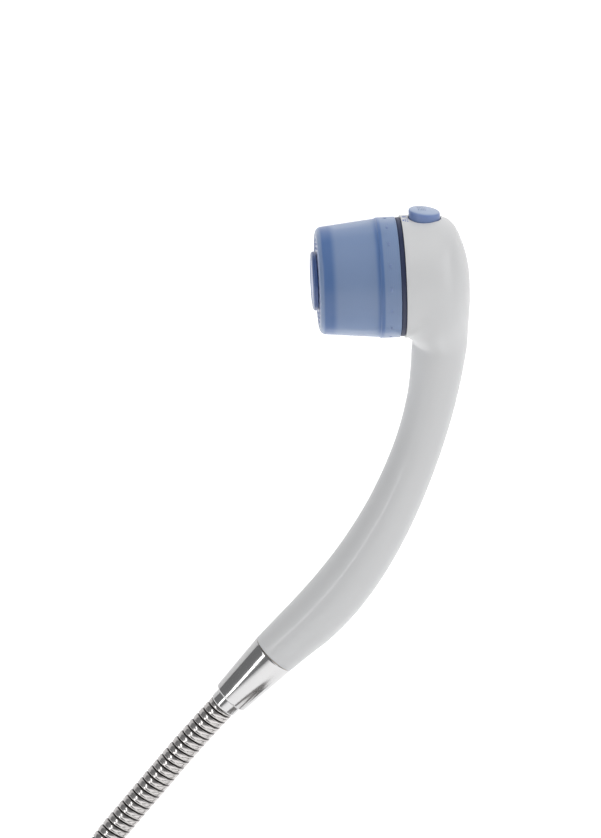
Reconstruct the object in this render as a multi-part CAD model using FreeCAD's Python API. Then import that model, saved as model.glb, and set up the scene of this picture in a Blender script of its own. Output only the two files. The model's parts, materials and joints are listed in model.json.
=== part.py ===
# A hand-held filter shower head on a metal hose.  Millimetres, +Z up.
# The spray faces -X and the object is symmetric about the XZ plane.  The origin is
# on the axis of the cone nut, halfway along the cone that sits in a wall bracket.
import FreeCAD, Part
import math
import os

V = FreeCAD.Vector

# Driving dimensions
HEAD_X = 80.0            # centre of the joint face between body and cup
HEAD_Z = 204.5
NUT_LEAN = 45.0          # degrees between the nut's axis and the vertical
BODY_R = 29.5            # body at the joint face
WALL = 2.5
HANDLE_ARC_R = 227.0     # centre line of the handle
HANDLE_ARC_FROM = 42.4   # where the arc starts, along the nut's axis
HANDLE_FOOT = 16.0       # where the handle ends, along the nut's axis
HANDLE_TOP = 199.7       # where it runs into the head
NECK_R = 4.0             # inside corner between cup and handle
NECK_DROP = 33.5         # that corner's centre, below the cup's axis
BUTTON_R = 7.5
BUTTON_BACK = 11.3       # the button's axis, behind the joint face
BUTTON_CREST = 33.1      # the button's crown, above the cup's axis
BUTTON_FOOT = 23.0
SCREW_CIRCLE_R = 17.0
CUP_R = 29.0
CUP_REAR = 2.5
CUP_FRONT = 41.0
SPIGOT_R = 5.0
THREAD_PITCH = 3.0
THREAD_ROOT_R = 24.4     # the neck's outside, under its thread
CUP_BORE_R = 26.4        # the cup's inside, around its thread
DIAL_R = 14.2
DIAL_FRONT = 43.7
DIAL_HUB_R = 4.0
G_HALF_R = 10.48         # half inch pipe thread, outside
FERRULE_R = 7.4
FERRULE_END = -22.0
HOSE_R = 7.0
HOSE_LENGTH = 1500.0
COIL_R = 80.7            # the middle of the coil's turns
COIL_X = -8.2
COIL_Y = -80.5
TAIL_LENGTH = 62.0       # from the coil to the wall end's ferrule
FLOOR_Z = -191.2
FIT = 0.05               # radial clearance of a running fit


def turned(points):
    """A solid of revolution about Z from (radius, height) corners."""
    corners = [V(radius, 0, height) for radius, height in points]
    face = Part.Face(Part.makePolygon(corners + corners[:1]))
    return face.revolve(V(0, 0, 0), V(0, 0, 1), 360)


def rod(radius, low, high):
    return Part.makeCylinder(radius, high - low, V(0, 0, low))


def sleeve(outer, inner, low, high):
    return rod(outer, low, high).cut(rod(inner, low, high))


def o_ring(middle_r, wire_r, height):
    return Part.makeTorus(middle_r, wire_r, V(0, 0, height))


def box(low, high):
    size = V(*high) - V(*low)
    return Part.makeBox(size.x, size.y, size.z, V(*low))


def around(shape, count, start=0.0):
    """Equally spaced copies of a shape about Z."""
    copies = []
    for number in range(count):
        copy = shape.copy()
        copy.rotate(V(0, 0, 0), V(0, 0, 1), start + number * 360.0 / count)
        copies.append(copy)
    return copies


def to_head(shape):
    """From the cup's own axes (Z forward, X up) to the object's."""
    placed = shape.copy()
    placed.rotate(V(0, 0, 0), V(0, 1, 0), -90)
    placed.translate(V(HEAD_X, 0, HEAD_Z))
    return placed


def to_button(shape):
    """From the button's own axes (Z up) to the object's."""
    placed = shape.copy()
    placed.translate(V(HEAD_X + BUTTON_BACK, 0, HEAD_Z))
    return placed


def to_nut(shape):
    """From the nut's own axes (Z towards the handle) to the object's."""
    placed = shape.copy()
    placed.rotate(V(0, 0, 0), V(0, 1, 0), NUT_LEAN)
    return placed


def save(name, shape):
    os.makedirs("parts", exist_ok=True)
    shape.exportStep("parts/" + name + ".step")
    print(name, "solids", len(shape.Solids), "valid", shape.isValid(), "volume", round(shape.Volume))


# Outer body

def nut_direction():
    lean = math.radians(NUT_LEAN)
    return V(math.sin(lean), 0, math.cos(lean))


def arc_centre():
    """The centre of the handle's arc, square to the nut's axis on the spray side."""
    along = nut_direction()
    return along * HANDLE_ARC_FROM + V(-along.z, 0, along.x) * HANDLE_ARC_R


# Along the centre line: distance, depth on the spray side, depth on the far side, half width
HANDLE_SIZES = [(16.0, 11.8, 11.8, 11.8), (30.0, 11.9, 13.3, 12.7), (42.4, 12.0, 14.8, 13.7),
                (62.2, 12.1, 15.3, 14.1), (86.0, 11.8, 14.5, 13.9), (113.7, 11.2, 13.2, 13.3),
                (145.4, 10.5, 12.6, 13.0), (173.1, 10.5, 13.4, 14.2), (199.7, 11.6, 15.0, 17.0)]
# Round the inside corner: degrees above the horizontal, reach from the corner, half width
HEAD_SIZES = [(90, 63.0, 29.5), (82.5, 63.6, 29.5), (75, 65.0, 29.4), (67.5, 64.0, 29.1), (60, 58.0, 28.7),
              (50, 49.5, 27.8), (38, 41.0, 26.0), (26, 35.4, 23.4), (12, 31.8, 20.0)]


def handle_sizes(along):
    """The handle's sizes at a distance, on smooth curves through the listed ones."""
    rows = HANDLE_SIZES
    last = len(rows) - 1
    slopes = [[(after - before) / (rows[min(n + 1, last)][0] - rows[max(n - 1, 0)][0])
               for before, after in zip(rows[max(n - 1, 0)], rows[min(n + 1, last)])] for n in range(last + 1)]
    n = max(number for number in range(last) if rows[number][0] <= along)
    span = rows[n + 1][0] - rows[n][0]
    t = (along - rows[n][0]) / span
    weights = (2 * t ** 3 - 3 * t ** 2 + 1, (t ** 3 - 2 * t ** 2 + t) * span,
               3 * t ** 2 - 2 * t ** 3, (t ** 3 - t ** 2) * span)
    columns = zip(rows[n], slopes[n], rows[n + 1], slopes[n + 1])
    return [sum(weight * value for weight, value in zip(weights, column)) for column in columns][1:]


def body_stations(inset):
    """Oval sections as (pivot, degrees above horizontal, near, far, half width)."""
    corner = V(HEAD_X, 0, HEAD_Z - NECK_DROP)
    stations = [(corner, angle, NECK_R, reach, half_width) for angle, reach, half_width in HEAD_SIZES]
    count = 20
    for number in range(count + 1):
        along = HANDLE_TOP + (HANDLE_FOOT - HANDLE_TOP) * number / count
        inner, outer, half_width = handle_sizes(along)
        if along > HANDLE_ARC_FROM:
            angle = math.degrees((along - HANDLE_ARC_FROM) / HANDLE_ARC_R) - NUT_LEAN
            stations.append((arc_centre(), angle, HANDLE_ARC_R - inner, HANDLE_ARC_R + outer, half_width))
        else:
            stations.append((nut_direction() * along, -NUT_LEAN, -inner, outer, half_width))
    return [(pivot, angle, near + inset, far - inset, half_width - inset)
            for pivot, angle, near, far, half_width in stations]


def oval(pivot, angle, near, far, half_width):
    """An ellipse in the plane through the pivot that leans this far from the horizontal."""
    outward = V(math.cos(math.radians(angle)), 0, math.sin(math.radians(angle)))
    normal = outward.cross(V(0, 1, 0))
    middle = pivot + outward * ((near + far) / 2)
    long_way = outward * ((far - near) / 2)
    stretch = FreeCAD.Matrix(long_way.x, 0, normal.x, middle.x,
                             long_way.y, half_width, normal.y, middle.y,
                             long_way.z, 0, normal.z, middle.z,
                             0, 0, 0, 1)
    return Part.Wire(Part.makeCircle(1).transformGeometry(stretch).Edges)


def handle_body():
    """The outer skin, the inner skin and a flat ring at each end, closed into one solid."""
    outer = [oval(*station) for station in body_stations(0.0)]
    inner = [oval(*station) for station in body_stations(WALL)]
    faces = []
    for wires in (outer, inner):
        faces += Part.makeLoft(wires, False, False, False, 5).Faces
    for end in (0, -1):
        faces += Part.Face(outer[end]).cut(Part.Face(inner[end])).Faces
    skin = Part.makeShell(faces)
    skin.sewShape()
    solid = Part.makeSolid(skin)
    if solid.Volume < 0:
        solid.reverse()
    return solid.cut(to_button(rod(BUTTON_R + 0.45, 15.0, BODY_R + 6)))


def mount_ring():
    """The ring of bosses behind the joint face that the valve is screwed to."""
    low, high = -10.0, -4.1
    boss = Part.makeCylinder(3.2, high - low, V(SCREW_CIRCLE_R, 0, low))
    rib = box((SCREW_CIRCLE_R, -1.0, low), (25.0, 1.0, high))
    ring = sleeve(25.9, 24.0, low, high).fuse(around(boss.fuse(rib), 4, 45))
    ring = ring.cut(around(Part.makeCylinder(1.5, 20.0, V(SCREW_CIRCLE_R, 0, -15.0)), 4, 45))
    return to_head(ring).cut(to_button(rod(10.5, 10.0, 35.0)))


def button_guide():
    return to_button(sleeve(9.4, BUTTON_R + 0.45, 19.5, 27.0))


# Water way in the handle

def tube_wire():
    along = nut_direction()
    centre = arc_centre()
    start = along * 24.2
    bend = along * HANDLE_ARC_FROM
    middle_angle = math.radians(NUT_LEAN / 2)
    middle = centre + V(math.cos(middle_angle), 0, -math.sin(middle_angle)) * HANDLE_ARC_R
    top = centre + V(HANDLE_ARC_R, 0, 0)
    edges = [Part.LineSegment(start, bend).toShape(), Part.Arc(bend, middle, top).toShape(),
             Part.LineSegment(top, V(top.x, 0, HEAD_Z - 7.0)).toShape()]
    return Part.Wire(edges)


def pipe(wire, radius):
    first = wire.Edges[0]
    start = first.valueAt(first.FirstParameter)
    circle = Part.Wire(Part.makeCircle(radius, start, first.tangentAt(first.FirstParameter)))
    return wire.makePipeShell([circle], True, False)


def water_tube():
    return pipe(tube_wire(), 6.0).cut(pipe(tube_wire(), 4.5))


def thread_adapter():
    core = turned([(0, 5.5), (G_HALF_R - 1.0, 5.5), (G_HALF_R, 6.5), (G_HALF_R, 16.0), (9.3, 16.0),
                   (9.3, 26.0), (8.2, 26.0), (8.2, 27.6), (9.3, 27.6), (9.3, 30.0), (0, 30.0)])
    for number in range(4):
        height = 7.6 + 1.814 * number
        core = core.cut(turned([(9.7, height + 0.8), (G_HALF_R + 1, height), (G_HALF_R + 1, height + 1.6)]))
    return to_nut(core.cut(rod(4.6, 5.0, 24.2)).cut(rod(6.0, 24.2, 31.0)))


def adapter_o_ring():
    return to_nut(o_ring(8.75, 0.55, 26.8))


# Valve in the head

def inlet_back():
    """How far behind the joint face the water tube comes up."""
    return arc_centre().x + HANDLE_ARC_R - HEAD_X


def helical_ridge(root_r, crest_r, low, turns, base=1.3, tip=0.6):
    """A screw thread's ridge about Z, standing out from the root or, with a smaller crest, inwards."""
    helix = Part.makeHelix(THREAD_PITCH, THREAD_PITCH * turns, root_r)
    corners = [V(root_r, 0, -base / 2), V(crest_r, 0, -tip / 2), V(crest_r, 0, tip / 2), V(root_r, 0, base / 2)]
    profile = Part.makePolygon(corners + corners[:1])
    ridge = Part.Wire(helix).makePipeShell([profile], True, True)
    ridge.translate(V(0, 0, low))
    return ridge


def valve_body():
    flange = turned([(0, -4.0), (25.6, -4.0), (25.6, 0), (THREAD_ROOT_R, 0), (THREAD_ROOT_R, 11.6),
                     (THREAD_ROOT_R - 0.6, 12.2), (21.6, 12.2), (21.6, 0), (SPIGOT_R, 0), (SPIGOT_R, 9.5), (0, 9.5)])
    ridge = helical_ridge(THREAD_ROOT_R - 0.3, 25.9, 4.4, 1.5)
    housing = box((-6.0, -7.3, -BUTTON_BACK), (17.0, 7.3, -3.9))
    body = to_head(flange.fuse([ridge, housing]))
    inlet_x = inlet_back() - BUTTON_BACK
    tower = to_button(rod(7.3, -6.0, 17.0))
    bridge = box((0, -7.3, -6.0), (inlet_x, 7.3, 4.0))
    socket = Part.makeCylinder(7.6, 19.0, V(inlet_x, 0, -15.0))
    body = body.fuse([tower, to_button(bridge.fuse(socket))])
    bore = to_button(rod(5.0, -1.0, 18.0))
    outlet = to_head(Part.makeCylinder(3.0, 22.0, V(0, 0, -BUTTON_BACK)))
    tube_bore = to_button(Part.makeCylinder(6.0, 9.0, V(inlet_x, 0, -16.0)))
    riser = to_button(Part.makeCylinder(3.5, 9.5, V(inlet_x, 0, -7.5)))
    button_notch = to_button(rod(9.8, 19.3, 30.0))
    body = body.cut([bore, outlet, tube_bore, riser, button_notch])
    screw_holes = around(Part.makeCylinder(1.7, 6.0, V(SCREW_CIRCLE_R, 0, -5.0)), 4, 45)
    return body.cut([to_head(hole) for hole in screw_holes]).removeSplitter()


def valve_screws():
    screw = turned([(0, -9.4), (1.0, -9.4), (1.5, -8.4), (1.5, 0.0), (2.9, 0.0), (2.9, 1.4), (2.2, 1.9),
                    (0.9, 1.9), (0.9, 0.9), (0, 0.9)])
    screw.translate(V(SCREW_CIRCLE_R, 0, 0))
    return to_head(Part.makeCompound(around(screw, 4, 45)))


def neck_seal():
    return to_head(turned([(24.7, 0.02), (28.3, 0.02), (28.6, 0.4), (28.6, 2.0), (28.3, 2.4), (24.7, 2.4)]))


def spool_cap():
    return to_button(turned([(2.3, 17.0), (7.2, 17.0), (7.2, 18.2), (6.6, 18.8), (2.3, 18.8)]))


def selector_button():
    shell = turned([(5.6, BUTTON_FOOT), (BUTTON_R, BUTTON_FOOT), (BUTTON_R, 30.8), (7.2, 32.0), (6.2, 32.7),
                    (4.0, 33.0), (0, BUTTON_CREST), (0, 30.6), (5.6, 30.0)])
    grips = []
    for number in range(5):
        along = 0.85 * (number - 2) - 1.2
        grips.append(box((along - 0.2, -2.6, 32.4), (along + 0.2, 2.6, BUTTON_CREST + 0.2)))
    return to_button(shell.fuse(grips).removeSplitter())


def selector_spool():
    profile = [(0, 3.0), (4.95, 3.0), (4.95, 4.6), (3.7, 4.6), (3.7, 6.0), (4.95, 6.0), (4.95, 7.6), (2.5, 7.6),
               (2.5, 10.6), (4.95, 10.6), (4.95, 12.2), (3.7, 12.2), (3.7, 13.6), (4.95, 13.6), (4.95, 15.2),
               (2.2, 15.2), (2.2, 30.3), (0, 30.3)]
    return to_button(turned(profile))


def spool_o_rings():
    return to_button(Part.makeCompound([o_ring(4.33, 0.6, 5.3), o_ring(4.33, 0.6, 12.9)]))


def button_spring():
    low, high, wire_r, coil_r, turns = 18.8, 29.9, 0.4, 3.9, 6
    pitch = (high - low - 2 * wire_r) / turns
    helix = Part.makeHelix(pitch, pitch * turns, coil_r)
    corners = [V(coil_r + wire_r * math.cos(math.radians(turn)), 0, wire_r * math.sin(math.radians(turn)))
               for turn in range(0, 360, 45)]
    profile = Part.makePolygon(corners + corners[:1])
    coil = Part.Wire(helix).makePipeShell([profile], True, True)
    coil.translate(V(0, 0, low + wire_r))
    return to_button(coil)


# Filter cartridge

def cartridge_case():
    case = turned([(SPIGOT_R + FIT, 4.0), (7.0, 4.0), (7.0, 14.0), (20.6, 14.0), (21.4, 14.8), (21.4, 33.0),
                   (19.9, 33.0), (19.9, 16.0), (SPIGOT_R + FIT, 16.0)])
    return to_head(case)


def cartridge_gasket():
    return to_head(turned([(5.3, 2.2), (7.4, 2.2), (7.4, 3.7), (5.3, 3.7)]))


def drilled(disc, rings, hole_r, low, high):
    """A disc with rings of (radius, count) holes through it."""
    holes = []
    for radius, count in rings:
        holes += around(Part.makeCylinder(hole_r, high - low, V(radius, 0, low)), count)
    return disc.cut(holes)


def filter_screen(low, high):
    return to_head(drilled(rod(19.8, low, high), [(6, 6), (12, 12), (17.5, 18)], 1.2, low - 1, high + 1))


def filter_media():
    return to_head(rod(19.6, 16.7, 30.9))


def cartridge_cap():
    cap = turned([(0, 31.6), (19.85, 31.6), (19.85, 33.0), (21.4, 33.0), (21.4, 33.8), (20.8, 34.4), (0, 34.4)])
    return to_head(drilled(cap, [(7, 6), (11.5, 12), (16, 18)], 1.1, 31.0, 35.0))


# Spray cup and its face

def spray_cup():
    corner = 3.2
    profile = [(CUP_BORE_R, CUP_REAR), (CUP_R - 0.4, CUP_REAR), (CUP_R, CUP_REAR + 0.4), (CUP_R, 11.8),
               (CUP_R - 0.5, 12.4), (25.9, CUP_FRONT - corner)]
    for degrees in (18, 36, 54, 72, 90):
        turn = math.radians(degrees)
        profile.append((25.9 - corner + corner * math.cos(turn), CUP_FRONT - corner + corner * math.sin(turn)))
    profile += [(22.05, CUP_FRONT), (22.05, 39.0), (23.35, 39.0), (25.75, 12.6), (CUP_BORE_R, 12.0)]
    ridge = helical_ridge(CUP_BORE_R + 0.3, 24.9, 5.9, 1.5)
    return to_head(turned(profile).fuse(ridge).removeSplitter())


def spray_plate():
    plate = turned([(DIAL_HUB_R, 37.0), (23.2, 37.0), (23.2, 38.95), (21.95, 38.95), (21.95, 40.6), (21.6, 40.9),
                    (DIAL_HUB_R, 40.9)])
    plate = drilled(plate, [(16.0, 24), (18.0, 28), (20.0, 32)], 0.45, 36.0, 42.0)
    return to_head(drilled(plate, [(9.0, 6)], 1.2, 36.0, 42.0))


def centre_dial():
    hub = DIAL_HUB_R - FIT
    dial = turned([(0, 35.6), (hub, 35.6), (hub, 38.4), (2.8, 38.4), (2.8, 39.8), (hub, 39.8), (hub, 41.2),
                   (DIAL_R - 0.3, 41.2), (DIAL_R, 41.5), (DIAL_R - 0.1, 42.6), (DIAL_R - 0.5, 43.3),
                   (DIAL_R - 1.4, DIAL_FRONT), (0, DIAL_FRONT)])
    notch = box((DIAL_R - 0.55, -0.5, 41.0), (DIAL_R + 1, 0.5, 42.4))
    dial = dial.cut(around(notch, 30))
    dial = drilled(dial, [(9.0, 6)], 1.2, 41.0, 46.0)
    return to_head(dial.cut(rod(1.25, 35.0, 41.0)))


def dial_o_ring():
    return to_head(o_ring(3.38, 0.55, 39.1))


def dial_screw():
    return to_head(turned([(0, 34.8), (4.6, 34.8), (5.4, 35.2), (5.4, 35.6), (1.25, 35.6), (1.25, 40.6), (0, 40.6)]))


# Hose end at the handle

def cone_nut():
    cone = turned([(FERRULE_R + FIT, -16.0), (8.9, -16.0), (9.4, -15.4), (11.8, 15.0), (11.4, 15.6),
                   (G_HALF_R + 0.8, 15.6), (G_HALF_R + FIT, 14.8), (G_HALF_R + FIT, 0.6), (FERRULE_R + FIT, 0.6)])
    return to_nut(cone)


def hose_washer():
    return to_nut(sleeve(9.9, 5.0, 3.4, 5.45))


def hose_insert():
    return to_nut(turned([(3.2, FERRULE_END), (4.5, FERRULE_END), (4.5, 0.8), (9.9, 0.8), (9.9, 3.35), (3.2, 3.35)]))


def hose_ferrule():
    return to_nut(turned([(4.5, FERRULE_END), (6.9, FERRULE_END), (FERRULE_R, -21.3), (FERRULE_R, 0.6), (4.5, 0.6)]))


# Hose

def hose_route():
    """The hose's points from the ferrule to the coil, chosen by hand."""
    return [nut_direction() * FERRULE_END, V(-29.5, 0, -30.0), V(-56.5, -1.0, -61.0), V(-88.0, -4.5, -96.0),
            V(-105.6, -24.4, -128.5), V(-109.0, -56.6, -155.2), V(-97.3, -94.0, -170.2),
            V(-74.3, -126.8, FLOOR_Z + 21.0)]


def rounded_wire(points):
    """Straight runs joined by tangent arcs, as large as the runs allow."""
    edges = []
    cursor = points[0]
    for before, point, after in zip(points, points[1:], points[2:]):
        into = (point - before).normalize()
        out = (after - point).normalize()
        turn = into.getAngle(out)
        setback = 0.45 * min((point - before).Length, (after - point).Length)
        print("hose turn", round(math.degrees(turn), 1), "radius", round(setback / math.tan(turn / 2), 1))
        start = point - into * setback
        end = point + out * setback
        radius = setback / math.tan(turn / 2)
        middle = point + (out - into).normalize() * (radius / math.cos(turn / 2) - radius)
        edges.append(Part.LineSegment(cursor, start).toShape())
        edges.append(Part.Arc(start, middle, end).toShape())
        cursor = end
    edges.append(Part.LineSegment(cursor, points[-1]).toShape())
    return Part.Wire(edges)


def hose_run():
    wire = rounded_wire(hose_route())
    solid = pipe(wire, HOSE_R)
    print("hose run length", round(wire.Length, 1), "volume", round(solid.Volume),
          "section times length", round(math.pi * HOSE_R ** 2 * wire.Length))
    return solid


def hose_coil():
    """The outer shape of the wound turns: two side by side on the floor and one on top."""
    inner = COIL_R - 2 * HOSE_R
    outer = COIL_R + 2 * HOSE_R
    low_top = FLOOR_Z + 14.0
    profile = [(inner, FLOOR_Z), (outer, FLOOR_Z), (outer, low_top), (COIL_R + HOSE_R, FLOOR_Z + 28.0),
               (COIL_R - HOSE_R, FLOOR_Z + 28.0), (inner, low_top)]
    coil = turned(profile)
    coil.translate(V(COIL_X, COIL_Y, 0))
    return coil


# Hose end at the wall

def to_wall_end(shape):
    """From axes at the hose's end, with Z onwards along it, to the object's."""
    placed = shape.copy()
    placed.rotate(V(0, 0, 0), V(1, 0, 0), -90)
    placed.translate(V(COIL_X + COIL_R + HOSE_R, COIL_Y + TAIL_LENGTH, FLOOR_Z + 12.0))
    return placed


def hose_tail():
    return to_wall_end(rod(HOSE_R, -TAIL_LENGTH, 0))


def wall_ferrule():
    return to_wall_end(turned([(4.5, 0), (FERRULE_R, 0), (FERRULE_R, 21.2), (6.9, 22.0), (4.5, 22.0)]))


def wall_insert():
    return to_wall_end(turned([(3.2, 0), (4.5, 0), (4.5, 22.2), (9.9, 22.2), (9.9, 24.6), (3.2, 24.6)]))


def wall_washer():
    return to_wall_end(sleeve(9.9, 5.0, 24.65, 26.6))


def wall_nut():
    nut = turned([(FERRULE_R + FIT, 18.0), (11.2, 18.0), (12.0, 18.8), (12.0, 37.2), (11.4, 38.0),
                  (G_HALF_R + FIT, 37.2), (G_HALF_R + FIT, 26.8), (10.9, 26.8), (10.9, 22.1), (FERRULE_R + FIT, 22.1)])
    grooves = around(Part.makeCylinder(0.6, 14.0, V(12.25, 0, 21.0)), 24)
    return to_wall_end(nut.cut(grooves))


parts = {
    "handle_body": handle_body,
    "mount_ring": mount_ring,
    "button_guide": button_guide,
    "water_tube": water_tube,
    "thread_adapter": thread_adapter,
    "adapter_o_ring": adapter_o_ring,
    "valve_body": valve_body,
    "valve_screws": valve_screws,
    "neck_seal": neck_seal,
    "spool_cap": spool_cap,
    "selector_button": selector_button,
    "selector_spool": selector_spool,
    "spool_o_rings": spool_o_rings,
    "button_spring": button_spring,
    "cartridge_case": cartridge_case,
    "cartridge_gasket": cartridge_gasket,
    "rear_screen": lambda: filter_screen(16.1, 16.6),
    "filter_media": filter_media,
    "front_screen": lambda: filter_screen(31.0, 31.5),
    "cartridge_cap": cartridge_cap,
    "spray_cup": spray_cup,
    "spray_plate": spray_plate,
    "centre_dial": centre_dial,
    "dial_o_ring": dial_o_ring,
    "dial_screw": dial_screw,
    "cone_nut": cone_nut,
    "hose_washer": hose_washer,
    "hose_insert": hose_insert,
    "hose_ferrule": hose_ferrule,
    "hose_run": hose_run,
    "hose_coil": hose_coil,
    "hose_tail": hose_tail,
    "wall_ferrule": wall_ferrule,
    "wall_insert": wall_insert,
    "wall_washer": wall_washer,
    "wall_nut": wall_nut,
}
for name, make in parts.items():
    save(name, make())
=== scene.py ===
import bmesh
import bpy
import json
import math
from mathutils import Matrix, Vector
from mathutils.bvhtree import BVHTree


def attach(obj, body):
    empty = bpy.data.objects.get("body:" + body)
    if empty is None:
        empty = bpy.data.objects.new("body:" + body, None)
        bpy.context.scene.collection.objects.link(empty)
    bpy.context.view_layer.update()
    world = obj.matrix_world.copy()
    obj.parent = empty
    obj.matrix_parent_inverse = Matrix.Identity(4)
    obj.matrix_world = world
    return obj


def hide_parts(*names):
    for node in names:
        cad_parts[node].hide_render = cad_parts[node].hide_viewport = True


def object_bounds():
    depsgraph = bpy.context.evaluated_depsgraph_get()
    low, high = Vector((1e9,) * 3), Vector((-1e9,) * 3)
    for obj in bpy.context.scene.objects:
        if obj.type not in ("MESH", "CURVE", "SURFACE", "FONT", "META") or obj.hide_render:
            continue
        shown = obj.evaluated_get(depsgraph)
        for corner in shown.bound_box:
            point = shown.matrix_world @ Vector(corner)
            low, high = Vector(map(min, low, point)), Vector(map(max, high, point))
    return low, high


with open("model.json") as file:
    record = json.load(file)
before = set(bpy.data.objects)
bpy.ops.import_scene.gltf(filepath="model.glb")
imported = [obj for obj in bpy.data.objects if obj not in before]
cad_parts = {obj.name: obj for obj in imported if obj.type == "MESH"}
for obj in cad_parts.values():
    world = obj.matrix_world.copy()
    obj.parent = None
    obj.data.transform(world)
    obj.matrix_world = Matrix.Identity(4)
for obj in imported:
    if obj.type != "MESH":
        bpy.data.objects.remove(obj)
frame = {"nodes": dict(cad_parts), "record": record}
cad_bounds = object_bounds()


# Camera.  It looks a little down on the side of the head, from far off, and is
# rolled slightly so that the handle leans.
target, distance = Vector((0.0286, 0, 0.1345)), 1.8
turn, rise, roll = math.radians(-2.6), math.radians(20), math.radians(2.1)
back = Vector((math.sin(turn) * math.cos(rise), -math.cos(turn) * math.cos(rise), math.sin(rise)))
level = Vector((math.cos(turn), math.sin(turn), 0))
upright = back.cross(level)
across = level * math.cos(roll) - upright * math.sin(roll)
upward = upright * math.cos(roll) + level * math.sin(roll)
facing = Matrix((across, upward, back)).transposed().to_4x4()
viewer = bpy.data.objects.new("camera", bpy.data.cameras.new("camera"))
viewer.data.lens = 159.06
viewer.data.sensor_width = 36
viewer.data.clip_end = 20
viewer.matrix_world = Matrix.Translation(target + back * distance) @ facing
bpy.context.scene.collection.objects.link(viewer)
bpy.context.scene.camera = viewer
bpy.context.scene.view_settings.view_transform = "Standard"


# Studio.  A white sweep stands behind and below, a long soft box on the left draws the
# streak down the handle and one on the right fills the dark side.  The wide box overhead
# only lightens: it doesn't show in reflections.
class Value:
    """An output of a material's nodes.  Arithmetic on it adds Math nodes."""

    def __init__(self, tree, socket=None):
        self.tree = tree
        self.socket = socket

    def node(self, kind, settings={}, inputs={}, output=0):
        made = self.tree.nodes.new(kind)
        for name, setting in settings.items():
            setattr(made, name, setting)
        for name, given in inputs.items():
            if isinstance(given, Value):
                self.tree.links.new(given.socket, made.inputs[name])
            else:
                made.inputs[name].default_value = given
        return Value(self.tree, made.outputs[output])

    def maths(self, operation, first, second=0.0):
        return self.node("ShaderNodeMath", {"operation": operation}, {0: first, 1: second})

    def __add__(self, other):
        return self.maths("ADD", self, other)

    def __sub__(self, other):
        return self.maths("SUBTRACT", self, other)

    def __rsub__(self, other):
        return self.maths("SUBTRACT", other, self)

    def __mul__(self, other):
        return self.maths("MULTIPLY", self, other)

    __radd__ = __add__
    __rmul__ = __mul__

    def place(self):
        return self.node("ShaderNodeTexCoord", output="Object")

    def along(self, axis):
        return self.node("ShaderNodeSeparateXYZ", {}, {"Vector": self.place()}, axis)

    def noise(self, scale, detail=3.0):
        return self.node("ShaderNodeTexNoise", {}, {"Vector": self.place(), "Scale": scale, "Detail": detail})

    def ramp(self, value, first, last, settings={}):
        """0 before the first value and 1 after the last."""
        return self.node("ShaderNodeMapRange", settings, {"Value": value, "From Min": first, "From Max": last})

    def blend(self, share, first, second):
        return self.node("ShaderNodeMix", {"data_type": "RGBA"},
                         {"Factor": share, "A": (*first, 1), "B": (*second, 1)}, "Result")

    def bump(self, height, strength, distance):
        return self.node("ShaderNodeBump", {}, {"Height": height, "Strength": strength, "Distance": distance})


def new_finish(name, constants, look):
    """A material: look is given its nodes and returns what feeds the shader's varying sockets."""
    finish = bpy.data.materials.new(name)
    finish.use_nodes = True
    shader = finish.node_tree.nodes["Principled BSDF"]
    for socket, constant in constants.items():
        shader.inputs[socket].default_value = constant
    for socket, value in look(Value(finish.node_tree)).items():
        finish.node_tree.links.new(value.socket, shader.inputs[socket])
    return finish


def new_piece(name, mesh, finish, smooth_below=35):
    """An object from a bmesh, with its faces smooth up to an angle between neighbours."""
    data = bpy.data.meshes.new(name)
    mesh.to_mesh(data)
    mesh.free()
    data.shade_smooth()
    data.set_sharp_from_angle(angle=math.radians(smooth_below))
    data.materials.append(finish)
    piece = bpy.data.objects.new(name, data)
    bpy.context.scene.collection.objects.link(piece)
    return piece


paper = new_finish("studio_paper", {"Roughness": 0.7, "Specular IOR Level": 0.1, "Emission Strength": 0.5}, lambda v: {
    "Base Color": v.blend(v.noise(3.0), (0.90, 0.90, 0.905), (0.92, 0.92, 0.92)),
    "Emission Color": v.blend(v.noise(3.0), (0.98, 0.98, 0.98), (1.0, 1.0, 1.0))})
side_reach, near_reach, far_reach, rise_of_sweep, sweep_bend = 6, 6, 3, 6, 1.5
sweep = bmesh.new()
floor_z = cad_bounds[0][2] - 0.0005
edge = [sweep.verts.new((-side_reach, y, floor_z)) for y in (-near_reach, far_reach)]
sweep.edges.new(edge)
swept = bmesh.ops.extrude_edge_only(sweep, edges=sweep.edges[:])["geom"]
bmesh.ops.translate(sweep, vec=(2 * side_reach, 0, 0), verts=[v for v in swept if isinstance(v, bmesh.types.BMVert)])
rear = [e for e in sweep.edges if all(abs(v.co.y - far_reach) < 1e-6 for v in e.verts)]
raised = bmesh.ops.extrude_edge_only(sweep, edges=rear)["geom"]
bmesh.ops.translate(sweep, vec=(0, 0, rise_of_sweep), verts=[v for v in raised if isinstance(v, bmesh.types.BMVert)])
bmesh.ops.bevel(sweep, geom=rear, offset=sweep_bend, affect="EDGES", segments=16, profile=0.5, material=-1)
bmesh.ops.recalc_face_normals(sweep, faces=sweep.faces[:])
new_piece("studio_sweep", sweep, paper, 60)

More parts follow.
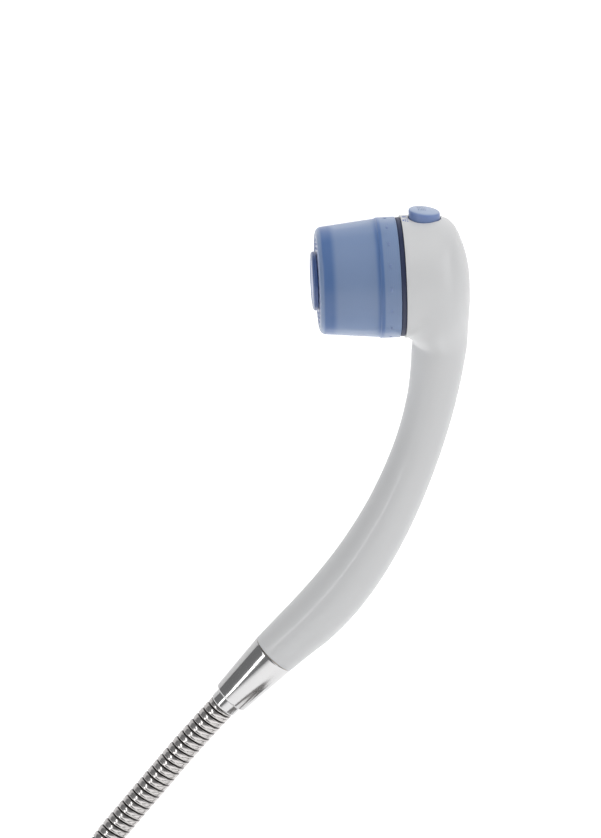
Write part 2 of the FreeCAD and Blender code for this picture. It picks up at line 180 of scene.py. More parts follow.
for name, place, aim, width, height, power in [
        ("side_box", (-1.15, -1.0, 0.75), (0.03, 0, 0.1), 0.22, 1.5, 6),
        ("top_box", (0.35, -0.35, 1.6), (0.05, 0, 0.1), 1.6, 1.2, 20),
        ("fill_box", (1.4, -0.7, 0.6), (0.05, 0, 0.1), 0.9, 1.2, 5)]:
    lamp = bpy.data.lights.new(name, "AREA")
    lamp.shape = "RECTANGLE"
    lamp.size, lamp.size_y, lamp.energy = width, height, power
    box = bpy.data.objects.new(name, lamp)
    aimed = (Vector(aim) - Vector(place)).to_track_quat("-Z", "Y").to_matrix().to_4x4()
    box.matrix_world = Matrix.Translation(place) @ aimed
    box.visible_glossy = name != "top_box"
    bpy.context.scene.collection.objects.link(box)
sky = bpy.data.worlds.new("studio_light")
sky.use_nodes = True
sky.node_tree.nodes["Background"].inputs["Color"].default_value = (0.97, 0.985, 1, 1)
sky.node_tree.nodes["Background"].inputs["Strength"].default_value = 0.26
bpy.context.scene.world = sky


# Handle and head shell.  One smooth hollow moulding in satin white plastic: a round joint
# face for the cup, a domed back, and an oval handle that curves down to the hose.
head = Vector((0.080, 0, 0.2045))
wall = 0.0025
nut_axis = Vector((math.sqrt(0.5), 0, math.sqrt(0.5)))
arc_r, arc_from = 0.227, 0.0424
arc_middle = nut_axis * arc_from + Vector((-nut_axis.z, 0, nut_axis.x)) * arc_r
corner, corner_r = head - Vector((0, 0, 0.0335)), 0.004
# Round the corner under the cup: degrees above the horizontal, then reach and half width in mm.
fan = [(90, 63.0, 29.5), (82.5, 63.6, 29.5), (75, 65.0, 29.4), (67.5, 64.0, 29.1), (60, 58.0, 28.7),
       (50, 49.5, 27.8), (38, 41.0, 26.0), (26, 35.4, 23.4), (12, 31.8, 20.0)]
# Down the handle: distance from the nut's middle, depth each side of the line and half width in mm.
grip = [(199.7, 11.6, 15.0, 17.0), (173.1, 10.5, 13.4, 14.2), (145.4, 10.5, 12.6, 13.0), (113.7, 11.2, 13.2, 13.3),
        (86.0, 11.8, 14.5, 13.9), (62.2, 12.1, 15.3, 14.1), (42.4, 12.0, 14.8, 13.7), (30.0, 11.9, 13.3, 12.7),
        (16.0, 11.8, 11.8, 11.8)]


def leaning(angle):
    return Vector((math.cos(math.radians(angle)), 0, math.sin(math.radians(angle))))


ovals = []
for angle, reach, half_width in fan:
    ovals.append((corner + leaning(angle) * corner_r, corner + leaning(angle) * reach / 1000, half_width / 1000))
for along, inner, outer, half_width in grip:
    if along > 1000 * arc_from:
        way, middle = leaning(math.degrees((along / 1000 - arc_from) / arc_r) - 45), arc_middle
        near, far = middle + way * (arc_r - inner / 1000), middle + way * (arc_r + outer / 1000)
    else:
        way, middle = leaning(-45), nut_axis * along / 1000
        near, far = middle - way * inner / 1000, middle + way * outer / 1000
    ovals.append((near, far, half_width / 1000))
rows = []
for near, far, half_width in ovals:
    along = 0
    if rows:
        before = Vector((rows[-1][1] + rows[-1][3], 0, rows[-1][2] + rows[-1][4])) / 2
        along = rows[-1][0] + ((near + far) / 2 - before).length
    rows.append((along, near.x, near.z, far.x, far.z, half_width))


def between_rows(table, along):
    """A smooth curve's values at a distance, through the rows of a table that starts with the distance."""
    last = len(table) - 1
    n = max([number for number in range(last) if table[number][0] <= along] or [0])
    span = table[n + 1][0] - table[n][0]
    t = min(1.0, (along - table[n][0]) / span)
    ends = []
    for at in (n, n + 1):
        before, after = table[max(at - 1, 0)], table[min(at + 1, last)]
        ends.append([(b - a) / (after[0] - before[0]) * span for a, b in zip(before, after)])
    weights = (2 * t ** 3 - 3 * t ** 2 + 1, t ** 3 - 2 * t ** 2 + t, 3 * t ** 2 - 2 * t ** 3, t ** 3 - t ** 2)
    columns = zip(table[n], ends[0], table[n + 1], ends[1])
    return [sum(w * value for w, value in zip(weights, column)) for column in columns][1:]


shell = bmesh.new()
ring_count, last_ring = 111, []
for number in range(ring_count):
    near_x, near_z, far_x, far_z, half_width = between_rows(rows, rows[-1][0] * number / (ring_count - 1))
    near, far = Vector((near_x, 0, near_z)), Vector((far_x, 0, far_z))
    outward = (far - near).normalized()
    seat = Matrix(((far - near) / 2, (0, half_width, 0), outward.cross(Vector((0, 1, 0))))).transposed().to_4x4()
    seat.translation = (near + far) / 2
    oval = bmesh.ops.create_circle(shell, segments=96, radius=1, matrix=seat)["verts"]
    ring = list({e for v in oval for e in v.link_edges})
    if number:
        bmesh.ops.bridge_loops(shell, edges=last_ring + ring)
    last_ring = ring
bmesh.ops.recalc_face_normals(shell, faces=shell.faces[:])
white_plastic = new_finish("white_plastic", {"IOR": 1.5, "Coat Roughness": 0.06}, lambda v: {
    "Base Color": v.blend(v.noise(14.0), (0.49, 0.492, 0.496), (0.51, 0.512, 0.516)),
    "Roughness": 0.36 + v.noise(60.0) * 0.08,
    "Coat Weight": 0.22 + v.noise(30.0) * 0.08,
    "Normal": v.bump(v.noise(40.0, 1.0), 0.02, 0.0002)})
body = new_piece("handle_shell", shell, white_plastic)
button_seat = head + Vector((0.0113, 0, 0))
button_hole_r = 0.00795
bore = bmesh.new()
bmesh.ops.create_cone(bore, cap_ends=True, segments=96, radius1=button_hole_r, radius2=button_hole_r, depth=0.03,
                      matrix=Matrix.Translation(button_seat + Vector((0, 0, 0.030))))
cutter = new_piece("button_hole", bore, white_plastic)
thick = body.modifiers.new("wall", "SOLIDIFY")
thick.thickness, thick.offset = wall, -1
cut = body.modifiers.new("button_hole", "BOOLEAN")
cut.object, cut.operation, cut.solver = cutter, "DIFFERENCE", "EXACT"
ease = body.modifiers.new("lip", "BEVEL")
ease.width, ease.segments, ease.limit_method, ease.angle_limit = 0.00035, 3, "ANGLE", math.radians(50)
finished = bpy.data.meshes.new_from_object(body.evaluated_get(bpy.context.evaluated_depsgraph_get()))
body.modifiers.clear()
finished.shade_smooth()
finished.set_sharp_from_angle(angle=math.radians(40))
body.data = finished
bpy.data.objects.remove(cutter)
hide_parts("handle_body")
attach(body, "handle")


# Printed marks.  Two small pad-printed signs in front of the button say which way it
# sends the water: three short bars for the wide spray and a dotted fan for the fine one.
ink = new_finish("blue_ink", {"IOR": 1.45}, lambda v: {
    "Base Color": v.blend(v.noise(900.0), (0.06, 0.11, 0.34), (0.08, 0.14, 0.40)),
    "Roughness": 0.38 + v.noise(700.0) * 0.1})
ink_depth = 0.00004
# Each stroke: distance behind the joint face, place across, length and width.
bars = [(0.00175, 0.0016 + 0.0012 * n, 0.0025, 0.0007) for n in (-1, 0, 1)]
dots = [(0.0009 + 0.0010 * ring, -0.0036 + 0.0011 * spread * (0.5 + 0.5 * ring), 0.0007, 0.0008)
        for ring in range(3) for spread in (-1, 0, 1)]
marks = bmesh.new()
for behind, side, length, width in bars + dots:
    stroke = bmesh.ops.create_circle(marks, cap_ends=True, segments=12, radius=0.5)["verts"]
    bmesh.ops.scale(marks, vec=(length, width, 1), verts=stroke)
    bmesh.ops.translate(marks, vec=(head.x + behind, side, head.z + 0.05), verts=stroke)
under = bmesh.new()
under.from_mesh(body.data)
skin = BVHTree.FromBMesh(under)
under.free()
for v in marks.verts:
    met, normal, face, fall = skin.ray_cast(v.co, Vector((0, 0, -1)))
    v.co = met + normal * ink_depth
printed = new_piece("printed_marks", marks, ink)
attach(printed, "handle")


# Joint seal.  A soft dark ring, moulded in rubber, is pinched between the shell and the
# cup and shows as a thin dark line.
def spun(mesh, profile, steps, seat):
    """Spins (radius, height) corners about Z and puts the result in its seat."""
    corners = [mesh.verts.new((radius, 0, height)) for radius, height in profile]
    lines = [mesh.edges.new(pair) for pair in zip(corners, corners[1:] + corners[:1])
             if not pair[0].co.x == pair[1].co.x == 0]
    bmesh.ops.spin(mesh, geom=corners + lines, cent=(0, 0, 0), axis=(0, 0, 1), angle=math.tau, steps=steps,
                   use_merge=True)
    bmesh.ops.remove_doubles(mesh, verts=mesh.verts[:], dist=1e-7)
    bmesh.ops.recalc_face_normals(mesh, faces=mesh.faces[:])
    bmesh.ops.transform(mesh, matrix=seat, verts=mesh.verts[:])


def rounded(profile, radius, steps=3):
    """The same (radius, height) corners with each one off the axis cut round."""
    soft = []
    for n, point in enumerate(profile):
        here, before, after = Vector(point), Vector(profile[n - 1]), Vector(profile[(n + 1) % len(profile)])
        if here.x == 0:
            soft.append(point)
            continue
        reach = min(radius, (before - here).length * 0.4, (after - here).length * 0.4)
        first, last = here + (before - here).normalized() * reach, here + (after - here).normalized() * reach
        soft += [tuple(first.lerp(here, t).lerp(here.lerp(last, t), t)) for t in [k / steps for k in range(steps + 1)]]
    return soft


head_seat = Matrix.Translation(head) @ Matrix.Rotation(math.radians(-90), 4, "Y")
dark_rubber = new_finish("dark_rubber", {"IOR": 1.5}, lambda v: {
    "Base Color": v.blend(v.noise(400.0), (0.012, 0.018, 0.05), (0.02, 0.028, 0.07)),
    "Roughness": 0.42 + v.noise(900.0) * 0.15,
    "Normal": v.bump(v.noise(1800.0), 0.2, 0.00005)})
seal_profile = [(0.0247, 0.00002), (0.0286, 0.00002), (0.0286, 0.0024), (0.0247, 0.0024)]
seal_mesh = bmesh.new()
spun(seal_mesh, rounded(seal_profile, 0.0005), 128, head_seat)
seal = new_piece("joint_seal", seal_mesh, dark_rubber)
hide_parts("neck_seal")
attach(seal, "handle")


# Button.  A small crowned cap in blue plastic with five raised grip ribs, pressed with
# the thumb against a spring.
lean_of_crown = 0.14


def button_look_painted_top(v):
    """Painted highlight: the crown is painted paler and the side darker, as light falling from above would show them.
    """
    level = (v.along("Z") - head.z) + lean_of_crown * (v.along("X") - button_seat.x)
    # Painted light: a pale colour on the crown above a height and a darker blue on the side, standing in for light
    # from above.
    shade = 0.92 * v.ramp(level, 0.0321, 0.0328) + 0.12 * v.noise(90.0)
    return {"Base Color": v.blend(shade, (0.115, 0.18, 0.38), (0.29, 0.35, 0.475)),
            "Roughness": 0.38 + v.noise(600.0) * 0.1, "Coat Weight": 0.25 + v.noise(50.0) * 0.1,
            "Normal": v.bump(v.noise(300.0, 1.0), 0.03, 0.00005)}


blue_button = new_finish("blue_button_plastic", {"IOR": 1.5, "Coat Roughness": 0.15}, button_look_painted_top)
button_r = 0.0075
crown = [(0.0056, 0.023), (button_r, 0.023), (button_r, 0.0300), (button_r, 0.0314), (0.00742, 0.0318),
         (0.00722, 0.0321), (0.0069, 0.0323), (0.0060, 0.03252), (0.0045, 0.03278), (0.0030, 0.03293),
         (0.0015, 0.03301), (0, 0.03303), (0, 0.0306), (0.0056, 0.0300)]
rib_size, rib_pitch, ribs_back, rib_z = (0.00042, 0.0056, 0.0010), 0.00085, -0.0012, 0.03270
cap = bmesh.new()
spun(cap, crown, 96, Matrix.Identity(4))
for number in range(5):
    rib = bmesh.new()
    bmesh.ops.create_cube(rib, size=1)
    bmesh.ops.scale(rib, vec=rib_size, verts=rib.verts[:])
    bmesh.ops.bevel(rib, geom=rib.edges[:], offset=0.00018, affect="EDGES", segments=3, profile=0.5, material=-1)
    bmesh.ops.translate(rib, vec=(rib_pitch * (number - 2) + ribs_back, 0, rib_z), verts=rib.verts[:])
    strip = bpy.data.meshes.new("rib")
    rib.to_mesh(strip)
    rib.free()
    cap.from_mesh(strip)
    bpy.data.meshes.remove(strip)
for v in cap.verts:
    tilt = min(1.0, max(0.0, (v.co.z - 0.0240) / 0.006))
    v.co.z += max(0.0, v.co.z - 0.0290) * 0.12 - v.co.x * lean_of_crown * tilt
bmesh.ops.translate(cap, vec=button_seat, verts=cap.verts[:])
button = new_piece("button_cap", cap, blue_button)
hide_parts("selector_button")
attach(button, "button")


# Spray cup.  One see-through blue moulding: a straight band with a thread inside it, a
# step, then a long cone to a rounded front rim.
def cup_look(v):
    """Deeper blue where light has more plastic to cross: at the rim, behind the step and at the edges."""
    forward = (head.x - v.along("X")) * 1000
    smooth = {"interpolation_type": "SMOOTHSTEP"}
    front = v.ramp(forward, 31.8, 35.4, smooth) * v.ramp(forward, 39.6, 38.6, smooth)
    step = v.ramp(forward, 14.8, 12.5, smooth) * v.ramp(forward, 9.9, 10.9, smooth)
    threads = v.maths("SINE", forward * 6.6) * v.ramp(forward, 4.0, 4.6, smooth) * v.ramp(forward, 10.0, 9.4, smooth)
    deep = 0.78 * front + 0.78 * step + 0.10 * threads + 0.14 * v.noise(35.0)
    rim = v.node("ShaderNodeLayerWeight", {}, {"Blend": 0.35}, "Facing")
    return {"Base Color": v.blend(deep, (0.213, 0.294, 0.465), (0.055, 0.120, 0.29)),
            "Roughness": 0.26 + v.noise(70.0) * 0.1, "Coat Weight": 0.10 + v.noise(40.0) * 0.1,
            "Alpha": 0.62 + 0.22 * deep + 0.25 * rim, "Normal": v.bump(v.noise(160.0, 1.0), 0.08, 0.0002)}


blue_clear = new_finish("blue_clear_plastic", {"IOR": 1.46, "Coat Roughness": 0.05}, cup_look)
step_r, step_at, rim_outer_r, rim_at, rim_round = 0.0285, 0.0124, 0.0259, 0.0378, 0.0032
cup_profile = [(0.0264, 0.0025), (0.0286, 0.0025), (0.0289, 0.0026), (0.0290, 0.0029), (0.0290, 0.0115),
               (0.02895, 0.0119), (0.0287, 0.0122), (step_r, step_at)]
cup_profile += [(step_r + (rim_outer_r - step_r) * k / 8, step_at + (rim_at - step_at) * k / 8) for k in range(1, 9)]
cup_profile += [(rim_outer_r - rim_round + rim_round * math.cos(math.radians(angle)),
                 rim_at + rim_round * math.sin(math.radians(angle))) for angle in range(9, 91, 9)]
cup_profile += [(0.02205, 0.0410), (0.02205, 0.0390), (0.02335, 0.0390), (0.02575, 0.0126), (0.0264, 0.0120)]
cup_mesh = bmesh.new()
spun(cup_mesh, cup_profile, 160, head_seat)
cup = new_piece("spray_cup", cup_mesh, blue_clear)
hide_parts("spray_cup")
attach(cup, "cup")

# Cup stops.  Sixteen short lugs of the same blue plastic, moulded with the cup, that stand
# a little proud of its band.
stop_count, stop_size, stop_at = 16, (0.0006, 0.0022, 0.0012, 1), (0.02885, 0, 0.0074)
stops = bmesh.new()
for number in range(stop_count):
    spot = Matrix.Rotation(math.tau * (number + 0.25) / stop_count, 4, "Z") @ Matrix.Translation(stop_at)
    bmesh.ops.create_cube(stops, size=1, matrix=head_seat @ spot @ Matrix.Diagonal(stop_size))
bmesh.ops.bevel(stops, geom=stops.edges[:], offset=0.0002, affect="EDGES", segments=2, profile=0.5, material=-1)
deep_blue = new_finish("deep_blue_stops", {"IOR": 1.46}, lambda v: {
    "Base Color": v.blend(v.noise(200.0), (0.12, 0.17, 0.31), (0.15, 0.20, 0.34)),
    "Roughness": 0.35 + v.noise(300.0) * 0.1})
lugs = new_piece("cup_stops", stops, deep_blue)
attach(lugs, "cup")

# Cup thread.  One and a half turns of a rounded thread, moulded inside the band, screw
# the cup onto the neck of the valve.
thread_r, thread_at, thread_pitch, thread_wire_r = 0.0262, 0.0059, 0.003, 0.00062
turns, per_turn = 1.5, 72
thread_start = Matrix.Translation((thread_r, 0, thread_at)) @ Matrix.Rotation(math.radians(90), 4, "X")
thread = bmesh.new()
bmesh.ops.create_circle(thread, cap_ends=False, segments=8, radius=thread_wire_r, matrix=thread_start)
bmesh.ops.spin(thread, geom=thread.verts[:] + thread.edges[:], cent=(0, 0, 0), axis=(0, 0, 1), angle=math.tau * turns,
               steps=int(turns * per_turn), dvec=(0, 0, thread_pitch / per_turn))
bmesh.ops.holes_fill(thread, edges=thread.edges[:])
bmesh.ops.recalc_face_normals(thread, faces=thread.faces[:])
bmesh.ops.transform(thread, matrix=head_seat, verts=thread.verts[:])
ridge = new_piece("cup_thread", thread, blue_clear)
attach(ridge, "cup")


# Spray face.  A smooth lilac-blue disc with three rings of fine nozzles, each with a soft
# rim that the scale rubs off, and six larger outlets under the dial.
lilac = new_finish("lilac_plastic", {"IOR": 1.48, "Specular IOR Level": 0.2}, lambda v: {
    "Base Color": v.blend(v.noise(30.0), (0.20, 0.25, 0.42), (0.23, 0.285, 0.46)),
    "Roughness": 0.26 + v.noise(200.0) * 0.1, "Coat Weight": 0.25 + v.noise(60.0) * 0.1,
    "Normal": v.bump(v.noise(600.0, 1.0), 0.05, 0.0001)})
nozzle_rings, nozzle_sides, face_at = [(0.016, 24), (0.018, 28), (0.020, 32)], 12, 0.0409
from_head = head_seat.inverted()
nozzles = bmesh.new()
for radius, count in nozzle_rings:
    for number in range(count):
        spot = Matrix.Rotation(math.tau * number / count, 4, "Z") @ Matrix.Translation((radius, 0, 0))
        spot = head_seat @ spot @ Matrix.Translation((0, 0, face_at))
        rim = bmesh.ops.create_cone(nozzles, cap_ends=True, segments=nozzle_sides, radius1=0.0007, radius2=0.0005,
                                    depth=0.0004, matrix=spot)["verts"]
        top = max((f for v in rim for f in v.link_faces if len(f.verts) == nozzle_sides),
                  key=lambda f: (from_head @ f.calc_center_median()).z)
        bmesh.ops.inset_region(nozzles, faces=[top], thickness=0.0002, depth=0)
        pushed = bmesh.ops.extrude_discrete_faces(nozzles, faces=[top])["faces"][0]
        bmesh.ops.translate(nozzles, vec=(0.0005, 0, 0), verts=pushed.verts[:])
tips = new_piece("spray_nozzles", nozzles, lilac)
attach(tips, "cup")


# Pieces that stay as their CAD shapes, in their own finishes.  They are the water way,
# the valve, the filter's plastic and wadding, and the turned brass and steel bits.
def plain_finish(name, first, second, roughness, grain=300.0, **constants):
    """Two close shades that drift over the surface, with a matching change of roughness."""
    return new_finish(name, {key.replace("_", " "): value for key, value in constants.items()}, lambda v: {
        "Base Color": v.blend(v.noise(grain / 6), first, second),
        "Roughness": roughness + v.noise(grain) * 0.12,
        "Normal": v.bump(v.noise(grain * 3, 1.0), 0.08, 0.00005)})


finishes = {
    "valve_grey": plain_finish("grey_moulding", (0.44, 0.45, 0.46), (0.50, 0.51, 0.52), 0.42),
    "spool_white": plain_finish("white_acetal", (0.78, 0.78, 0.75), (0.83, 0.83, 0.80), 0.30),
    "tube_plastic": plain_finish("drawn_tube", (0.60, 0.63, 0.66), (0.66, 0.69, 0.72), 0.35),
    "ring_black": plain_finish("black_rubber", (0.015, 0.015, 0.015), (0.03, 0.03, 0.03), 0.5, 700.0),
    "screen_white": plain_finish("woven_screen", (0.62, 0.66, 0.74), (0.70, 0.74, 0.82), 0.5, 1500.0),
    "face_lilac": lilac,
    "steel": plain_finish("plain_steel", (0.55, 0.55, 0.56), (0.62, 0.62, 0.63), 0.28, 500.0, Metallic=1.0),
    "spring_steel": plain_finish("spring_wire", (0.42, 0.42, 0.44), (0.52, 0.52, 0.54), 0.25, 900.0, Metallic=1.0),
    "brass": plain_finish("turned_brass", (0.60, 0.42, 0.16), (0.68, 0.49, 0.20), 0.26, 400.0, Metallic=1.0),
}
finishes["media_cream"] = new_finish("filter_wadding", {"Sheen Weight": 0.3}, lambda v: {
    "Base Color": v.blend(v.noise(700.0, 6.0), (0.55, 0.56, 0.58), (0.80, 0.80, 0.80)),
    "Roughness": 0.8 + v.noise(900.0) * 0.2, "Normal": v.bump(v.noise(900.0, 6.0), 0.8, 0.0004)})
finishes["cartridge_plastic"] = new_finish("frosted_plastic", {"IOR": 1.45}, lambda v: {
    "Base Color": v.blend(v.noise(40.0), (0.50, 0.58, 0.74), (0.56, 0.64, 0.80)),
    "Roughness": 0.35 + v.noise(500.0) * 0.15, "Alpha": 0.85 + v.noise(60.0) * 0.1,
    "Normal": v.bump(v.noise(800.0), 0.1, 0.0001)})
slots = {entry["node"]: entry["material_slot"] for entry in frame["record"]["subparts"]}
for node, piece in frame["nodes"].items():
    if slots[node] in finishes:
        if not piece.material_slots:
            piece.data.materials.append(finishes[slots[node]])
        for slot in piece.material_slots:
            slot.material = finishes[slots[node]]


# Spray dial.  A round knob in deep blue plastic in the middle of the face, with a pale
# front and small notches round its side for a wet finger to turn.
navy = new_finish("navy_plastic", {"IOR": 1.5, "Coat Roughness": 0.08}, lambda v: {
    "Base Color": v.blend(v.noise(60.0), (0.040, 0.080, 0.22), (0.055, 0.105, 0.27)),
    "Roughness": 0.25 + v.noise(400.0) * 0.12, "Coat Weight": 0.4 + v.noise(50.0) * 0.1,
    "Normal": v.bump(v.noise(900.0, 1.0), 0.06, 0.0001)})
pale = new_finish("pale_dial_face", {"IOR": 1.48, "Specular IOR Level": 0.2}, lambda v: {
    "Base Color": v.blend(v.noise(40.0), (0.31, 0.35, 0.53), (0.35, 0.39, 0.57)),
    "Roughness": 0.28 + v.noise(200.0) * 0.1, "Normal": v.bump(v.noise(900.0, 1.0), 0.05, 0.0001)})
dial_r, disc_r, disc_at = 0.0142, 0.0107, 0.0435
dial_profile = [(0, 0.0356), (0.00395, 0.0356), (0.00395, 0.0412), (dial_r - 0.0003, 0.0412), (dial_r, 0.0415),
                (dial_r, 0.0423), (dial_r - 0.00005, 0.0428), (dial_r - 0.0003, 0.0432), (dial_r - 0.0008, 0.0435),
                (dial_r - 0.0014, 0.0437), (0.0109, 0.0437), (disc_r, disc_at), (0.0009, disc_at), (0, disc_at)]
knob = bmesh.new()
spun(knob, dial_profile, 180, Matrix.Identity(4))


def faces_round(mesh, height, reach, at_least):
    """The faces of a spun side at a height and beyond a radius, in order round the axis."""
    found = [(f, f.calc_center_median()) for f in mesh.faces]
    found = [(f, c) for f, c in found if abs(c.z - height) < reach and c.xy.length > at_least]
    found.sort(key=lambda pair: math.atan2(pair[1].y, pair[1].x))
    return [f for f, c in found]


def notch(mesh, faces, depth):
    for face in faces:
        inward = -face.normal * depth
        pressed = bmesh.ops.extrude_discrete_faces(mesh, faces=[face])["faces"][0]
        bmesh.ops.translate(mesh, vec=inward, verts=pressed.verts[:])


notch(knob, faces_round(knob, 0.04255, 0.0002, 0.014)[::3], 0.0003)
for face in knob.faces:
    centre = face.calc_center_median()
    if centre.z > disc_at - 0.00005 and centre.xy.length < disc_r:
        face.material_index = 1
bmesh.ops.transform(knob, matrix=head_seat, verts=knob.verts[:])
dial = new_piece("spray_dial", knob, navy)
dial.data.materials.append(pale)
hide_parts("centre_dial")
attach(dial, "dial")


# Hose end fittings.  Chromed brass: a loose cone nut that seats in a wall bracket, the
# crimped ferrules on the hose, and the plain knurled nut for the wall end.
chrome = new_finish("polished_chrome", {"Metallic": 1.0, "IOR": 1.5}, lambda v: {
    "Base Color": v.blend(v.noise(60.0), (0.52, 0.515, 0.515), (0.58, 0.575, 0.575)),
    "Roughness": 0.09 + v.noise(300.0) * 0.08, "Normal": v.bump(v.noise(80.0, 1.0), 0.02, 0.0002)})
nut_seat = Matrix.Rotation(math.radians(45), 4, "Y")
wall_seat = Matrix.Translation((0.0795, -0.0185, -0.1792)) @ Matrix.Rotation(math.radians(-90), 4, "X")
hose_hole_r, ferrule_r, thread_hole_r = 0.00745, 0.0074, 0.01053
shapes = [
    ("cone_nut", "cone_nut_chrome", nut_seat, "cone_nut",
     [(hose_hole_r, -0.016), (0.0089, -0.016), (0.0094, -0.0154), (0.0118, 0.015), (0.0114, 0.0156), (0.0113, 0.0156),
      (thread_hole_r, 0.0148), (thread_hole_r, 0.0006), (hose_hole_r, 0.0006)]),
    ("hose_ferrule", "hose_ferrule_chrome", nut_seat, "handle",
     [(0.0045, -0.022), (0.0069, -0.022), (ferrule_r, -0.0213), (ferrule_r, 0.0006), (0.0045, 0.0006)]),
    ("wall_ferrule", "wall_ferrule_chrome", wall_seat, "handle",
     [(0.0045, 0), (ferrule_r, 0), (ferrule_r, 0.0212), (0.0069, 0.022), (0.0045, 0.022)])]
for node, name, seat, rides, profile in shapes:
    fitting = bmesh.new()
    spun(fitting, rounded(profile, 0.0003), 96, seat)
    piece = new_piece(name, fitting, chrome)
    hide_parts(node)
    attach(piece, rides)
wall_nut_r = 0.0120
knurled = bmesh.new()
spun(knurled, [(hose_hole_r, 0.018), (0.0110, 0.018), (0.0117, 0.0183), (wall_nut_r, 0.0190), (wall_nut_r, 0.0210),
               (wall_nut_r, 0.0350), (wall_nut_r, 0.0372), (0.0114, 0.038), (thread_hole_r, 0.0372),
               (thread_hole_r, 0.0268), (0.0109, 0.0268), (0.0109, 0.0221), (hose_hole_r, 0.0221)],
     96, Matrix.Identity(4))
notch(knurled, faces_round(knurled, 0.028, 0.0005, 0.0115)[::4], 0.0004)
bmesh.ops.transform(knurled, matrix=wall_seat, verts=knurled.verts[:])
wall_nut = new_piece("wall_nut_chrome", knurled, chrome)
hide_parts("wall_nut")
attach(wall_nut, "wall_nut")


# Hose.  Bright steel strip wound into a fourteen millimetre tube, each turn hooked into
# the next, so that it bends anywhere: a rounded band, a fine groove and a dark gap.
hose_r, pitch, around, groove_depth = 0.007, 0.0040, 24, 0.0011
coil_x, coil_y, coil_r, ground = -0.0082, -0.0805, 0.0807, -0.1912
tail_x = coil_x + coil_r + hose_r


def ease_in(t):
    """0 to 1 with a level start and end."""
    t = min(1, max(0, t))
    return t * t * (3 - 2 * t)


# Down from the ferrule to the coil, then round the coil: once on top, then lower and inside,
# then out beside the lowest turn, and off to the wall end.
route = [(-0.015556, 0, -0.015556), (-0.0295, 0, -0.0300), (-0.0565, -0.0010, -0.0610), (-0.0880, -0.0045, -0.0960),
         (-0.1056, -0.0244, -0.1285), (-0.1090, -0.0566, -0.1552), (-0.0973, -0.0940, -0.1702),
         (-0.0743, -0.1268, -0.1702)]
coil_from, coil_to, coil_steps = 215, 1065, 29
drop_from, drop_over, out_from, out_over = 418, 75, 722, 60
for step in range(1, coil_steps + 1):
    angle = coil_from + step * (coil_to - coil_from) / coil_steps
    drop = min(1, max(0, (angle - drop_from) / drop_over))
    radius = coil_r - hose_r * ease_in(drop * 1.6) + 2 * hose_r * ease_in((angle - out_from) / out_over)
    height = 3 * hose_r - 2 * hose_r * ease_in(drop)
    route.append((coil_x + radius * math.cos(math.radians(angle)), coil_y + radius * math.sin(math.radians(angle)),
                  ground + height))
route += [(tail_x + 0.0002, coil_y - 0.004, ground + 0.0085), (tail_x, coil_y + 0.020, ground + 0.0105),
          (tail_x, coil_y + 0.042, ground + 0.012), (tail_x, coil_y + 0.062, ground + 0.012)]
line = bpy.data.curves.new("hose_line", "CURVE")
line.dimensions = "3D"
spline = line.splines.new("NURBS")
spline.points.add(len(route) - 1)
for control, point in zip(spline.points, route):
    control.co = (*point, 1)
spline.order_u = 3
spline.use_endpoint_u = True
spline.resolution_u = 12
carrier = bpy.data.objects.new("hose_line", line)
bpy.context.scene.collection.objects.link(carrier)
traced = bpy.data.meshes.new_from_object(carrier.evaluated_get(bpy.context.evaluated_depsgraph_get()))
path = [v.co.copy() for v in traced.vertices]
bpy.data.objects.remove(carrier)
bpy.data.meshes.remove(traced)
reached = [0.0]
for a, b in zip(path, path[1:]):
    reached.append(reached[-1] + (b - a).length)
print("hose length", round(reached[-1], 4), "points", len(path))

# The first stretch is seen from near, so it has more rings to a turn of the strip.
close, rings_close, rings_far = 0.16, 16, 7
fine = int(close / pitch) * rings_close
coarse = int((reached[-1] - close) / pitch) * rings_far
stations = [close * n / fine for n in range(fine)]
stations += [close + (reached[-1] - close) * n / coarse for n in range(coarse + 1)]
# One turn of the strip: share of the pitch, and height above the gap's floor.
band = [(0.0, 0.0), (0.07, 0.25), (0.13, 0.85), (0.22, 0.97), (0.38, 1.0), (0.54, 0.97), (0.60, 0.84), (0.65, 0.83),
        (0.70, 0.92), (0.80, 0.95), (0.88, 0.80), (0.94, 0.20), (1.0, 0.0)]


def band_height(share):
    for (a, low), (b, high) in zip(band, band[1:]):
        if share <= b:
            return low + (high - low) * (share - a) / (b - a)
    return 0.0


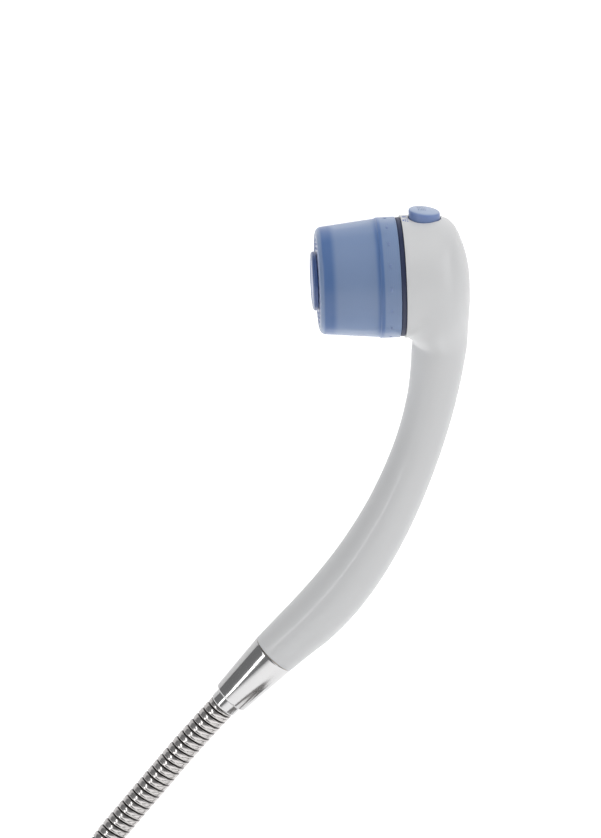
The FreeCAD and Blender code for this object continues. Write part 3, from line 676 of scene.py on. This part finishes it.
hose_mesh = bmesh.new()
bmesh.ops.create_grid(hose_mesh, x_segments=len(stations) - 1, y_segments=around, size=0.5)
gap = hose_mesh.verts.layers.float.new("gap")
frames, normal, n = [], Vector((0, 1, 0)), 0
for place in stations:
    while n < len(path) - 2 and reached[n + 1] < place:
        n += 1
    share = (place - reached[n]) / (reached[n + 1] - reached[n])
    forward = (path[n + 1] - path[n]).normalized()
    ahead = (path[min(n + 2, len(path) - 1)] - path[min(n + 1, len(path) - 2)]).normalized()
    tangent = forward.lerp(ahead, share).normalized()
    normal = (normal - tangent * normal.dot(tangent)).normalized()
    frames.append((path[n].lerp(path[n + 1], share), normal.copy(), tangent.cross(normal)))
for v in hose_mesh.verts:
    row, column = round((v.co.x + 0.5) * (len(stations) - 1)), round((v.co.y + 0.5) * around)
    middle, first, second = frames[row]
    height = band_height((stations[row] / pitch - column / around) % 1.0)
    height *= min(1, 6 * stations[row] / pitch, 6 * (stations[-1] - stations[row]) / pitch)
    v[gap] = 1 - height
    radius = hose_r - groove_depth * (1 - height)
    spoke = math.tau * column / around
    v.co = middle + (first * math.cos(spoke) + second * math.sin(spoke)) * radius
bmesh.ops.remove_doubles(hose_mesh, verts=hose_mesh.verts[:], dist=1e-6)
bmesh.ops.holes_fill(hose_mesh, edges=[e for e in hose_mesh.edges if e.is_boundary])
bmesh.ops.recalc_face_normals(hose_mesh, faces=hose_mesh.faces[:])


def hose_look(v):
    """Bright on the band and dark and dull in the gap between turns."""
    dark = v.ramp(v.node("ShaderNodeAttribute", {"attribute_name": "gap"}, {}, "Fac"), 0.12, 0.7)
    return {"Base Color": v.blend(dark, (0.55, 0.53, 0.52), (0.06, 0.056, 0.054)),
            "Roughness": 0.16 + 0.3 * dark + v.noise(100.0) * 0.06,
            "Normal": v.bump(v.noise(150.0, 1.0), 0.02, 0.0001)}


hose_steel = new_finish("wound_steel", {"Metallic": 1.0}, hose_look)
hose = new_piece("metal_hose", hose_mesh, hose_steel, 60)
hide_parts("hose_run", "hose_coil", "hose_tail")
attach(hose, "handle")
